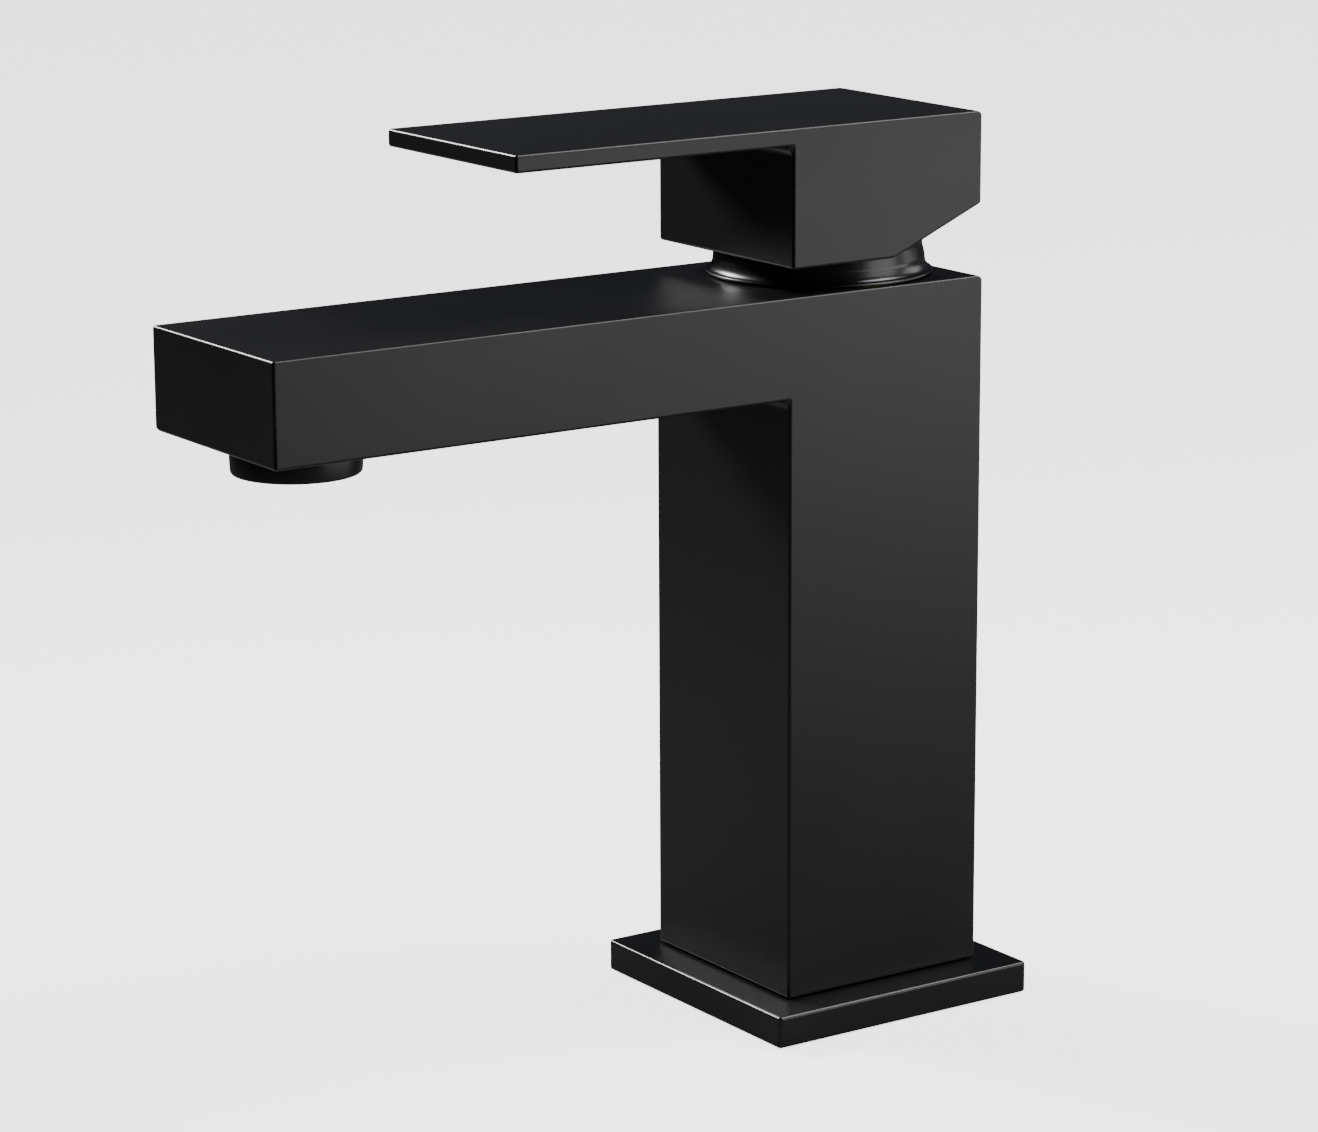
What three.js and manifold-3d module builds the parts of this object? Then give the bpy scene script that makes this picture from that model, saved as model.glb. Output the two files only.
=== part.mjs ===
// Square single-lever basin mixer, in millimetres, +Z up.
// The origin is where the column's axis meets the deck. The spout points along -Y.
import * as THREE from "three";
import { mergeVertices } from "three/addons/utils/BufferGeometryUtils.js";
import Module from "manifold-3d";

const wasm = await Module();
wasm.setup();

// ---- driving dimensions ----------------------------------------------------------------
const GAP = 0.3; // clearance between pieces that touch

const COLUMN_WIDTH = 42.4;
const COLUMN_DEPTH = 43.4;
const BODY_TOP = 137;
const SPOUT_UNDERSIDE = 118.5;
const SPOUT_TIP = -126.5;
const WALL = 3.5; // thickness of the cast walls
const EDGE = 0.5; // broken edge of every cast face
const CORNER = 1; // radius of its outline's corners
const REAR_CORNER = 1.4; // the same at the rear of the body and the lever
const INNER_CORNER = 1.8; // where the spout meets the column, and the blade its block

const PLATE_WIDTH = 56.4;
const PLATE_DEPTH = 57.4;
const PLATE_HEIGHT = 6;
const PLATE_CORNER = 1.4;
const SPIGOT_RADIUS = 16; // the body's round foot, which the plate fits over

const LEVER_WIDTH = 42.4;
const LEVER_TIP = -78.8;
const LEVER_REAR = 21.2;
const LEVER_TOP = 167.2;
const LEVER_BLADE = 3.2; // thickness of the flat blade
const BLOCK_FRONT = -21;
const BLOCK_BOTTOM = 142;
const CHAMFER_START = 1.5; // where the rising underside begins
const CHAMFER_END = 150.3; // its height at the rear face

const PIVOT = 142; // height of the lever's pin, and the centre of the dome
const DOME_RADIUS = 19;
const DOME_WALL = 1.1;
const DOME_TOP = 151;
const NECK_RADIUS = 19.05; // top of the cone under the dome
const CONE_SLOPE = 0.25; // how much the cone widens for each millimetre down
const SKIRT_RADIUS = 20.9;
const CAVITY_HALF = 19.5; // half width of the hollow under the lever block
const CAVITY_TOP = 161;

const SEAT = 106; // floor of the cartridge bore
const BORE_RADIUS = 18;
const NUT_BORE_RADIUS = 19;
const NUT_BORE_FLOOR = 127;
const INLET_X = 7.4;
const INLET_RADIUS = 4; // M8 x 1 hose thread
const PORT_RADIUS = 3;
const STUD_Y = 11.5;
const STUD_RADIUS = 3.4; // tapped M8 for the fixing studs

const SHELL_RADIUS = 17.2; // cartridge
const CHAMBER_RADIUS = 15;
const ROTOR_RADIUS = 11.9;
const DISC_RADIUS = 11.3;
const DISC_REST = 3.1; // how far behind the axis the moving disc sits when shut
const STEM_SIDE = 7.6;
const FOOT_ARM = 14.9; // from the pin down to the stem's foot
const FOOT_RADIUS = 2.6;
const TURN_LIMIT = 50; // degrees to each side

const AERATOR_Y = -110.6;
const AERATOR_RADIUS = 11.5;
const AERATOR_BOTTOM = 113;
const AERATOR_BORE = 11;
const BOSS_RADIUS = 12.1; // the cast rim that the aerator's collar sits in
const BOSS_HEIGHT = 0.9;
const MOUTH_RADIUS = 9.6; // inside of the aerator's collar
const WASHER_SEAT = 126.3;
const CHANNEL_HALF = 8; // half width of the waterway in the spout

const ROUND = 40; // sides of a large circle
const SMALL_ROUND = 24;

// ---- finishes --------------------------------------------------------------------------
const finish = (color, roughness, metalness) => {
  return () => new THREE.MeshStandardMaterial({ color, roughness, metalness });
};
const satinBlack = finish(0x1c1d1f, 0.42, 0.35);
const brass = finish(0xb5925a, 0.35, 1);
const steel = finish(0xb8bcc0, 0.3, 1);
const rubber = finish(0x18181a, 0.9, 0);
const whitePlastic = finish(0xdedfdb, 0.5, 0);
const greyPlastic = finish(0x8b9096, 0.5, 0);
const redPlastic = finish(0xa33a32, 0.5, 0);
const ceramic = finish(0xf1efe8, 0.25, 0);

// ---- solids ----------------------------------------------------------------------------
/** A closed three.js geometry as a manifold solid. */
function solid(geometry) {
  const bare = geometry.clone();
  bare.deleteAttribute("normal");
  bare.deleteAttribute("uv");
  const merged = mergeVertices(bare);
  const index = merged.index.array;
  const triangles = [];
  for (let i = 0; i < index.length; i += 3) {
    const [a, b, c] = index.slice(i, i + 3);
    if (a !== b && b !== c && c !== a) triangles.push(a, b, c);
  }
  const vertProperties = new Float32Array(merged.attributes.position.array);
  const triVerts = new Uint32Array(triangles);
  return new wasm.Manifold(new wasm.Mesh({ numProp: 3, vertProperties, triVerts }));
}

/** A manifold solid as a named three.js mesh. */
function piece(name, shape, material) {
  const mesh = shape.getMesh();
  const geometry = new THREE.BufferGeometry();
  geometry.setAttribute("position", new THREE.BufferAttribute(mesh.vertProperties, 3));
  geometry.setIndex(new THREE.BufferAttribute(mesh.triVerts, 1));
  geometry.computeVertexNormals();
  const object = new THREE.Mesh(geometry, material());
  object.name = name;
  return object;
}

/** A box between two corners. */
function box([x0, y0, z0], [x1, y1, z1]) {
  const geometry = new THREE.BoxGeometry(x1 - x0, y1 - y0, z1 - z0);
  geometry.translate((x0 + x1) / 2, (y0 + y1) / 2, (z0 + z1) / 2);
  return solid(geometry);
}

/** An upright cylinder from z0 to z1. */
function post(radius, z0, z1, x = 0, y = 0, sides = SMALL_ROUND) {
  const geometry = new THREE.CylinderGeometry(radius, radius, z1 - z0, sides);
  geometry.rotateX(Math.PI / 2);
  geometry.translate(x, y, (z0 + z1) / 2);
  return solid(geometry);
}

/** A cylinder along X, centred on x = 0. */
function pinAlongX(radius, length, y, z) {
  const geometry = new THREE.CylinderGeometry(radius, radius, length, SMALL_ROUND);
  geometry.rotateZ(Math.PI / 2);
  geometry.translate(0, y, z);
  return solid(geometry);
}

/** A cylinder along Y from y0 to y1. */
function pinAlongY(radius, y0, y1, z) {
  const geometry = new THREE.CylinderGeometry(radius, radius, y1 - y0, SMALL_ROUND);
  geometry.translate(0, (y0 + y1) / 2, z);
  return solid(geometry);
}

/** A piece turned about Z from [radius, height] points, counter-clockwise with radius to the right. */
function turned(points, x = 0, y = 0, sides = ROUND) {
  const closed = [...points, points[0]];
  const profile = closed.map(([r, z]) => new THREE.Vector2(r, z));
  const geometry = new THREE.LatheGeometry(profile, sides);
  geometry.rotateX(Math.PI / 2);
  geometry.translate(x, y, 0);
  return solid(geometry);
}

/** A flat ring. */
function ring(inner, outer, z0, z1, x = 0, y = 0, sides = ROUND) {
  return turned([[inner, z0], [outer, z0], [outer, z1], [inner, z1]], x, y, sides);
}

/** An O-ring of round section, lying flat. */
function oRing(radius, section, z) {
  const steps = 6;
  const points = [];
  for (let i = 0; i < steps; i += 1) {
    const angle = (2 * Math.PI * i) / steps;
    points.push([radius + section * Math.cos(angle), z + section * Math.sin(angle)]);
  }
  return turned(points);
}

/** An outline whose corners [a, b, radius] are rounded. */
function outline(corners) {
  const shape = new THREE.Shape();
  const count = corners.length;
  corners.forEach(([a, b, radius], i) => {
    const corner = new THREE.Vector2(a, b);
    const before = new THREE.Vector2(...corners[(i + count - 1) % count].slice(0, 2));
    const after = new THREE.Vector2(...corners[(i + 1) % count].slice(0, 2));
    const into = before.sub(corner).setLength(radius).add(corner);
    const out = after.sub(corner).setLength(radius).add(corner);
    if (i === 0) shape.moveTo(into.x, into.y);
    else shape.lineTo(into.x, into.y);
    shape.quadraticCurveTo(corner.x, corner.y, out.x, out.y);
  });
  shape.closePath();
  return shape;
}

/** An outline given depth, with its edges broken and its outer size kept. */
function casting(shape, depth, edge) {
  return new THREE.ExtrudeGeometry(shape, {
    depth: depth - 2 * edge,
    bevelThickness: edge,
    bevelSize: edge,
    bevelOffset: -edge,
    bevelSegments: 1,
    curveSegments: 3,
  });
}

/** A side outline in Y and Z, made into a casting centred across X. */
function sideCasting(corners, width, edge = EDGE) {
  const geometry = casting(outline(corners), width, edge);
  geometry.translate(0, 0, edge - width / 2);
  const across = new THREE.Vector3(1, 0, 0);
  const along = new THREE.Vector3(0, 1, 0);
  const up = new THREE.Vector3(0, 0, 1);
  geometry.applyMatrix4(new THREE.Matrix4().makeBasis(along, up, across));
  return solid(geometry);
}

/** Every solid of a list joined into one. */
function joined(solids) {
  return solids.reduce((all, next) => all.add(next));
}

/** The first solid with every solid of the list cut from it. */
function cut(base, tools) {
  return tools.reduce((rest, tool) => rest.subtract(tool), base);
}

// ---- body and base ---------------------------------------------------------------------
function faucetBody() {
  const front = -COLUMN_DEPTH / 2;
  const rear = COLUMN_DEPTH / 2;
  const foot = PLATE_HEIGHT + GAP;
  const shape = sideCasting([
    [front, foot, CORNER],
    [rear, foot, CORNER],
    [rear, BODY_TOP, REAR_CORNER],
    [SPOUT_TIP, BODY_TOP, CORNER],
    [SPOUT_TIP, SPOUT_UNDERSIDE, CORNER],
    [front, SPOUT_UNDERSIDE, INNER_CORNER],
  ], COLUMN_WIDTH);
  const coreFloor = PLATE_HEIGHT * 2;
  const coreRoof = SEAT - 8;
  const coreHalf = COLUMN_WIDTH / 2 - WALL;
  const coreOuter = COLUMN_DEPTH / 2 - WALL;
  const webHalf = 6;
  const aeratorBoss = turned([
    [BOSS_RADIUS - 0.3, SPOUT_UNDERSIDE - BOSS_HEIGHT],
    [BOSS_RADIUS, SPOUT_UNDERSIDE - BOSS_HEIGHT],
    [BOSS_RADIUS + BOSS_HEIGHT, SPOUT_UNDERSIDE + 0.1],
    [BOSS_RADIUS + BOSS_HEIGHT, SPOUT_UNDERSIDE + 1],
    [BOSS_RADIUS - 0.3, SPOUT_UNDERSIDE + 1],
  ], 0, AERATOR_Y);
  const metal = joined([
    shape,
    post(SPIGOT_RADIUS, 0, foot + 2, 0, 0, ROUND),
    aeratorBoss,
  ]);
  // A web down the middle carries both waterways, with an open core before and behind it.
  const cores = [
    box([-coreHalf, -coreOuter, coreFloor], [coreHalf, -webHalf, coreRoof]),
    box([-coreHalf, webHalf, coreFloor], [coreHalf, coreOuter, coreRoof]),
  ];
  const waterways = [-INLET_X, INLET_X].flatMap((x) => [
    post(INLET_RADIUS, -1, 20, x),
    post(PORT_RADIUS, 19, SEAT + 1, x),
  ]);
  const studSockets = [-STUD_Y, STUD_Y].map((y) => post(STUD_RADIUS, -1, coreFloor + 1, 0, y));
  const cartridgeBore = [
    post(BORE_RADIUS, SEAT, BODY_TOP, 0, 0, ROUND),
    post(NUT_BORE_RADIUS, NUT_BORE_FLOOR, BODY_TOP + 1, 0, 0, ROUND),
  ];
  const channelFloor = SPOUT_UNDERSIDE + 2.7;
  const channelRoof = BODY_TOP - WALL;
  const passageTop = NUT_BORE_FLOOR - 0.4;
  const outletPassage = [
    box([-9, -19, SEAT + 2], [9, -14, passageTop]),
    box([-9, -25, channelFloor], [9, -18, passageTop]),
    box([-CHANNEL_HALF, -97, channelFloor], [CHANNEL_HALF, -24, channelRoof]),
    box([-CHANNEL_HALF, -119, WASHER_SEAT + 0.4], [CHANNEL_HALF, -96, channelRoof]),
    post(8.6, WASHER_SEAT - 1, WASHER_SEAT + 1, 0, AERATOR_Y, ROUND),
    post(AERATOR_BORE, SPOUT_UNDERSIDE - 1, WASHER_SEAT, 0, AERATOR_Y, ROUND),
  ];
  return cut(metal, [
    ...cores,
    ...waterways,
    ...studSockets,
    ...cartridgeBore,
    ...outletPassage,
  ]);
}

const PLATE_O_RING = 18.9;
const GASKET_INNER = 20.6;
const GASKET_OUTER = 25;

function basePlate() {
  const halfX = PLATE_WIDTH / 2;
  const halfY = PLATE_DEPTH / 2;
  const shape = outline([
    [-halfX, -halfY, PLATE_CORNER],
    [halfX, -halfY, PLATE_CORNER],
    [halfX, halfY, PLATE_CORNER],
    [-halfX, halfY, PLATE_CORNER],
  ]);
  const geometry = casting(shape, PLATE_HEIGHT, EDGE);
  geometry.translate(0, 0, EDGE);
  return cut(solid(geometry), [
    post(SPIGOT_RADIUS + GAP, -1, PLATE_HEIGHT + 1, 0, 0, ROUND),
    ring(GASKET_INNER - GAP, GASKET_OUTER + GAP, -1, 2),
    ring(PLATE_O_RING - 1.2, PLATE_O_RING + 1.2, PLATE_HEIGHT - 1.6, PLATE_HEIGHT + 1),
  ]);
}

// ---- cartridge -------------------------------------------------------------------------
const BASE_TOP = 115.7;
const FIXED_DISC = [116, 119.2];
const MOVING_DISC = [119.5, 122.7];
const CARRIER = [123, 129.6];
const HOUSING_TOP = 140;
const ROTOR_TOP = 146;
const LUG_HALF_ANGLE = 8;
const OUTLET_Y = 4.5; // the mixed water's port, behind the axis
const OUTLET_RADIUS = 2.6;
const DISC_PORT_RADIUS = 2.8;
const PIN_HOLE_RADIUS = 1.8;
const INLET_SEAL_RADIUS = 4.5;
const STOP_RADIUS = 14.2; // where the rotor's lug runs inside the stop ring

/** A slice of a round bar that fills the given half angle about the +Y direction. */
function sector(halfAngle, radius, z0, z1) {
  const half = THREE.MathUtils.degToRad(halfAngle);
  const slice = new THREE.Shape();
  slice.absarc(0, 0, radius, Math.PI / 2 - half, Math.PI / 2 + half);
  slice.lineTo(0, 0);
  slice.closePath();
  const depth = z1 - z0;
  const geometry = new THREE.ExtrudeGeometry(slice, { depth, bevelEnabled: false });
  geometry.translate(0, 0, z0);
  return solid(geometry);
}

function cartridgeBase() {
  const puck = post(SHELL_RADIUS, SEAT + GAP, BASE_TOP, 0, 0, ROUND);
  const inlets = [-INLET_X, INLET_X].flatMap((x) => [
    post(PORT_RADIUS, SEAT, BASE_TOP + 1, x),
    post(INLET_SEAL_RADIUS + GAP, SEAT, SEAT + 2, x),
  ]);
  const mixedOutlet = [
    post(OUTLET_RADIUS, SEAT + 3, BASE_TOP + 1, 0, OUTLET_Y),
    box([-OUTLET_RADIUS, -20, SEAT + 3], [OUTLET_RADIUS, OUTLET_Y, SEAT + 8]),
  ];
  return cut(puck, [...inlets, ...mixedOutlet]);
}

function inletSeal(x) {
  const inner = PORT_RADIUS + GAP;
  return ring(inner, INLET_SEAL_RADIUS, SEAT + GAP, SEAT + 1.7, x, 0, SMALL_ROUND);
}

function fixedDisc() {
  const disc = post(CHAMBER_RADIUS - 0.4, ...FIXED_DISC, 0, 0, ROUND);
  const [bottom, top] = FIXED_DISC;
  return cut(disc, [
    post(DISC_PORT_RADIUS, bottom - 1, top + 1, -INLET_X),
    post(DISC_PORT_RADIUS, bottom - 1, top + 1, INLET_X),
    post(OUTLET_RADIUS, bottom - 1, top + 1, 0, OUTLET_Y),
  ]);
}

function movingDisc() {
  const [bottom, top] = MOVING_DISC;
  const disc = post(DISC_RADIUS, bottom, top, 0, DISC_REST, ROUND);
  const mixingPocket = box([-8.6, 3.2, bottom - 1], [8.6, 9.6, bottom + 1.8]);
  return disc.subtract(mixingPocket);
}

function discCarrier() {
  const [bottom, top] = CARRIER;
  const plate = post(DISC_RADIUS, bottom, top, 0, DISC_REST, ROUND);
  const socket = box([-4.2, -3, bottom + 1.2], [4.2, 3, top + 1]);
  const relief = ring(8.5, DISC_RADIUS + 2, bottom + 2.4, top + 1, 0, DISC_REST);
  return cut(plate, [socket, relief]);
}

function cartridgeHousing() {
  return turned([
    [CHAMBER_RADIUS, FIXED_DISC[0]],
    [SHELL_RADIUS, FIXED_DISC[0]],
    [SHELL_RADIUS, 128.6],
    [18.6, 128.6],
    [18.6, 131.2],
    [SHELL_RADIUS, 131.2],
    [SHELL_RADIUS, 134.5],
    [13.3, 134.5],
    [13.3, HOUSING_TOP],
    [ROTOR_RADIUS + GAP, HOUSING_TOP],
    [ROTOR_RADIUS + GAP, 132.5],
    [CHAMBER_RADIUS, 132.5],
  ]);
}

function rotor() {
  const barrel = turned([
    [0, 130],
    [CHAMBER_RADIUS - 0.4, 130],
    [CHAMBER_RADIUS - 0.4, 132.2],
    [ROTOR_RADIUS, 132.2],
    [ROTOR_RADIUS, ROTOR_TOP - 0.8],
    [ROTOR_RADIUS - 0.8, ROTOR_TOP],
    [0, ROTOR_TOP],
  ]);
  const lug = sector(LUG_HALF_ANGLE, STOP_RADIUS - GAP, HOUSING_TOP + GAP, ROTOR_TOP - 2);
  const slot = STEM_SIDE / 2 + GAP;
  const lowerSlot = box([-slot, -9.4, 129], [slot, 4.2, PIVOT]);
  const upperSlot = box([-slot, -4.2, PIVOT - 1], [slot, 6.6, ROTOR_TOP + 1]);
  return cut(barrel.add(lug), [lowerSlot, upperSlot, pinAlongX(PIN_HOLE_RADIUS, 30, 0, PIVOT)]);
}

function stopRing() {
  const bottom = HOUSING_TOP + GAP;
  const top = HOUSING_TOP + 2;
  const outer = STOP_RADIUS + 0.4;
  const band = ring(ROTOR_RADIUS + GAP, outer, bottom, top);
  const play = sector(TURN_LIMIT + LUG_HALF_ANGLE + 1, STOP_RADIUS, bottom - 1, top + 1);
  const backWall = ring(STOP_RADIUS, outer, bottom, top);
  return band.subtract(play).add(backWall);
}

function retainingNut() {
  const top = HOUSING_TOP + 0.5;
  const body = turned([
    [17.5, 131.5],
    [NUT_BORE_RADIUS - GAP, 131.5],
    [NUT_BORE_RADIUS - GAP, BODY_TOP],
    [17.6, BODY_TOP],
    [17.6, 137.7],
    [16.4, 137.7],
    [16.4, 139.3],
    [17.6, 139.3],
    [17.6, top],
    [15, top],
    [15, 138],
    [13.6, 138],
    [13.6, 134.8],
    [17.5, 134.8],
  ]);
  const slots = [0, 1].map((quarter) => {
    const bar = new THREE.BoxGeometry(40, 3, 2);
    bar.rotateZ(Math.PI / 4 + (quarter * Math.PI) / 2);
    bar.translate(0, 0, top);
    return solid(bar);
  });
  return cut(body, slots);
}

function domeCap() {
  const skirt = BODY_TOP + GAP;
  const onSphere = (radius, z) => [Math.sqrt(radius ** 2 - (z - PIVOT) ** 2), z];
  const inner = DOME_RADIUS - DOME_WALL;
  const coneFoot = skirt + 1.6;
  const coneAt = (z) => NECK_RADIUS + CONE_SLOPE * (PIVOT - z);
  return turned([
    [18.1, skirt],
    [SKIRT_RADIUS, skirt],
    [SKIRT_RADIUS, skirt + 0.5],
    [coneAt(coneFoot) + 0.25, coneFoot - 0.75],
    [coneAt(coneFoot), coneFoot],
    [NECK_RADIUS, PIVOT],
    ...[144, 146, 148, 149.6, DOME_TOP].map((z) => onSphere(DOME_RADIUS, z)),
    ...[DOME_TOP, 148.6, 146, 144, PIVOT].map((z) => onSphere(inner, z)),
    [18.1, PIVOT - 0.7],
  ]);
}

// ---- lever -----------------------------------------------------------------------------
function stem() {
  const half = STEM_SIDE / 2;
  const foot = PIVOT - FOOT_ARM;
  const metal = joined([
    box([-half, -half, PIVOT - 3.4], [half, half, 159.5]),
    box([-3.6, -1.9, foot], [3.6, 1.9, PIVOT - 3]),
    pinAlongX(FOOT_RADIUS, 7.2, 0, foot),
  ]);
  return metal.subtract(pinAlongX(PIN_HOLE_RADIUS, 20, 0, PIVOT));
}

const SCREW_HEIGHT = 157;
const PLUG_RADIUS = 3;
const HUB_HALF = 6.5;

function handle() {
  const bladeUnder = LEVER_TOP - LEVER_BLADE;
  const shell = sideCasting([
    [LEVER_TIP, bladeUnder, CORNER],
    [BLOCK_FRONT, bladeUnder, INNER_CORNER],
    [BLOCK_FRONT, BLOCK_BOTTOM, CORNER],
    [CHAMFER_START, BLOCK_BOTTOM, CORNER],
    [LEVER_REAR, CHAMFER_END, CORNER],
    [LEVER_REAR, LEVER_TOP, REAR_CORNER],
    [LEVER_TIP, LEVER_TOP, CORNER],
  ], LEVER_WIDTH);
  const cavity = box(
    [-CAVITY_HALF, -CAVITY_HALF + 0.1, BLOCK_BOTTOM - 2],
    [CAVITY_HALF, CAVITY_HALF, CAVITY_TOP],
  );
  const hub = box([-HUB_HALF, -HUB_HALF, PIVOT + 11], [HUB_HALF, HUB_HALF + 0.5, CAVITY_TOP + 1]);
  const socketHalf = STEM_SIDE / 2 + GAP;
  return cut(shell.subtract(cavity).add(hub), [
    box([-socketHalf, -socketHalf, PIVOT], [socketHalf, socketHalf, 160]),
    pinAlongY(2.5, 2, 8, SCREW_HEIGHT),
    pinAlongY(PLUG_RADIUS + GAP, 18, 23, SCREW_HEIGHT),
  ]);
}

function handleScrew() {
  const socket = new THREE.CylinderGeometry(1.4, 1.4, 4, 6);
  socket.translate(0, 9.2, SCREW_HEIGHT);
  return pinAlongY(2.2, STEM_SIDE / 2 + GAP, 9.1, SCREW_HEIGHT).subtract(solid(socket));
}

// ---- aerator ---------------------------------------------------------------------------
function aeratorShell() {
  const shoulder = SPOUT_UNDERSIDE - GAP;
  return turned([
    [MOUTH_RADIUS, AERATOR_BOTTOM],
    [AERATOR_RADIUS - 0.5, AERATOR_BOTTOM],
    [AERATOR_RADIUS, AERATOR_BOTTOM + 0.5],
    [AERATOR_RADIUS, shoulder],
    [AERATOR_BORE - GAP, shoulder],
    [AERATOR_BORE - GAP, 124.2],
    [MOUTH_RADIUS, 124.2],
  ], 0, AERATOR_Y);
}

/** A circle of small upright holes about the aerator's axis. */
function holesInCircle(count, radius, circle, z0, z1) {
  const holes = [];
  for (let i = 0; i < count; i += 1) {
    const angle = (2 * Math.PI * i) / count;
    const x = circle * Math.cos(angle);
    const y = AERATOR_Y + circle * Math.sin(angle);
    holes.push(post(radius, z0, z1, x, y, 8));
  }
  return holes;
}

function aeratorInsert() {
  const cup = turned([
    [0, 116.4],
    [MOUTH_RADIUS - 0.4, 116.4],
    [MOUTH_RADIUS - 0.4, 121],
    [8, 121],
    [8, 118],
    [0, 118],
  ], 0, AERATOR_Y);
  return cut(cup, holesInCircle(10, 0.7, 5.8, 116, 119));
}

function flowRegulator() {
  const disc = post(7.6, 118.4, 121.8, 0, AERATOR_Y, ROUND);
  const groove = ring(3.2, 5.6, 120, 122.5, 0, AERATOR_Y, SMALL_ROUND);
  return cut(disc, [groove, ...holesInCircle(8, 0.8, 4.4, 118, 121)]);
}

function aeratorScreen() {
  const pitch = 2;
  const opening = 1.3;
  const cells = 4;
  const meshRadius = 7.7;
  let screen = post(MOUTH_RADIUS - 0.4, 114.4, 116.1, 0, AERATOR_Y, ROUND);
  for (let i = -cells; i <= cells; i += 1) {
    for (let j = -cells; j <= cells; j += 1) {
      const x = i * pitch;
      const y = j * pitch;
      if (Math.hypot(x, y) > meshRadius) continue;
      const low = [x - opening / 2, AERATOR_Y + y - opening / 2, 113];
      const high = [x + opening / 2, AERATOR_Y + y + opening / 2, 117];
      screen = screen.subtract(box(low, high));
    }
  }
  return screen;
}

// ---- assembly --------------------------------------------------------------------------
const base = new THREE.Group();
base.add(
  piece("faucet_body", faucetBody(), satinBlack),
  piece("base_plate", basePlate(), satinBlack),
  piece("base_gasket", ring(GASKET_INNER, GASKET_OUTER, 0, 1.7), rubber),
  piece("plate_o_ring", oRing(PLATE_O_RING, 0.8, PLATE_HEIGHT - 0.65), rubber),
  piece("dome_cap", domeCap(), satinBlack),
  piece("cap_o_ring", oRing(17.3, 0.55, 138.5), rubber),
  piece("retaining_nut", retainingNut(), brass),
);

const cartridge = new THREE.Group();
cartridge.add(
  piece("cartridge_base", cartridgeBase(), whitePlastic),
  piece("hot_inlet_seal", inletSeal(-INLET_X), rubber),
  piece("cold_inlet_seal", inletSeal(INLET_X), rubber),
  piece("cartridge_housing", cartridgeHousing(), whitePlastic),
  piece("housing_o_ring", oRing(18.1, 0.55, 127.95), rubber),
  piece("fixed_disc", fixedDisc(), ceramic),
  piece("moving_disc", movingDisc(), ceramic),
  piece("disc_carrier", discCarrier(), greyPlastic),
  piece("rotor", rotor(), greyPlastic),
  piece("stop_ring", stopRing(), redPlastic),
);

const lever = new THREE.Group();
lever.add(
  piece("stem", stem(), brass),
  piece("stem_pin", pinAlongX(1.5, 21, 0, PIVOT), steel),
  piece("handle", handle(), satinBlack),
  piece("handle_screw", handleScrew(), steel),
  piece("handle_plug", pinAlongY(PLUG_RADIUS, 19.6, 21, SCREW_HEIGHT), satinBlack),
);

const aerator = new THREE.Group();
aerator.add(
  piece("aerator_shell", aeratorShell(), satinBlack),
  piece("aerator_washer", ring(8.8, 10.6, 124.5, 126, 0, AERATOR_Y), rubber),
  piece("flow_regulator", flowRegulator(), redPlastic),
  piece("aerator_insert", aeratorInsert(), whitePlastic),
  piece("aerator_screen", aeratorScreen(), steel),
);

const faucet = new THREE.Group();
faucet.add(base, cartridge, lever, aerator);

export default faucet;
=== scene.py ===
"""Looks of a square single-lever basin mixer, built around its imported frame.

Each sub-assembly is a class that builds its own meshes and dresses them. Each finish is a
frozen dataclass that writes its own shader. Lengths are in metres in the row's frame.
"""

import logging
import math
from dataclasses import dataclass, field
from enum import Enum
from typing import Callable, Iterable, Sequence

import bmesh
import bpy
from mathutils import Matrix, Vector


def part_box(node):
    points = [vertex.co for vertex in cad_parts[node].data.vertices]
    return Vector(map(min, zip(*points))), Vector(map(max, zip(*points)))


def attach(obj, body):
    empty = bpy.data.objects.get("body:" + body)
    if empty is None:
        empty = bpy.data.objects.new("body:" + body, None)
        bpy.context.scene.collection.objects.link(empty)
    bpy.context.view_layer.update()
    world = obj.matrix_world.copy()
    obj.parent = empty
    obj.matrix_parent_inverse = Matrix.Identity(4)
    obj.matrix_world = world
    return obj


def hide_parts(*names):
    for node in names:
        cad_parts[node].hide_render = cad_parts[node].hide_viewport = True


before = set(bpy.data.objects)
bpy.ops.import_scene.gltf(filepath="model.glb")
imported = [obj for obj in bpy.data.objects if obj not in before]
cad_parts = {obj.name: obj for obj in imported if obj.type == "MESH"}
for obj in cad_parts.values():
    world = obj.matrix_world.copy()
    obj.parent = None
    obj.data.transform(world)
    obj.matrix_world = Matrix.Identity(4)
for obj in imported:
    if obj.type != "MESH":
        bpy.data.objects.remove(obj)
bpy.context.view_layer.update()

MM = 0.001
LOG = logging.getLogger("basin_mixer")
EDGE_MASK = "edge_mask"
BEVEL_WEIGHT = "bevel_weight_edge"
WIDEST_ROUND = 4 * MM  # the radius that a bevel weight of 1 stands for
ROUND_STEPS = 6  # faces across a rounded edge
SAME_POINT = 0.001 * MM  # points closer than this become one
OVERSHOOT = 1 * MM  # how far a cutter or a joined part runs past a face
FLAT_AREA = 12 * MM * MM  # a face larger than this is a flat, not part of a rounded edge

Colour = tuple[float, float, float]
Point2 = tuple[float, float]
Socketable = "Value | float | tuple | bpy.types.NodeSocket"


class Body(Enum):
    """The bodies of the frame that new pieces ride on."""

    FIXED = "body"
    LEVER = "lever"


class Slot(Enum):
    """The record's material slots."""

    BLACK = "satin_black"
    BRASS = "brass"
    STEEL = "steel"
    RUBBER = "rubber"
    WHITE = "white_plastic"
    GREY = "grey_plastic"
    RED = "red_plastic"
    CERAMIC = "disc_ceramic"


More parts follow.
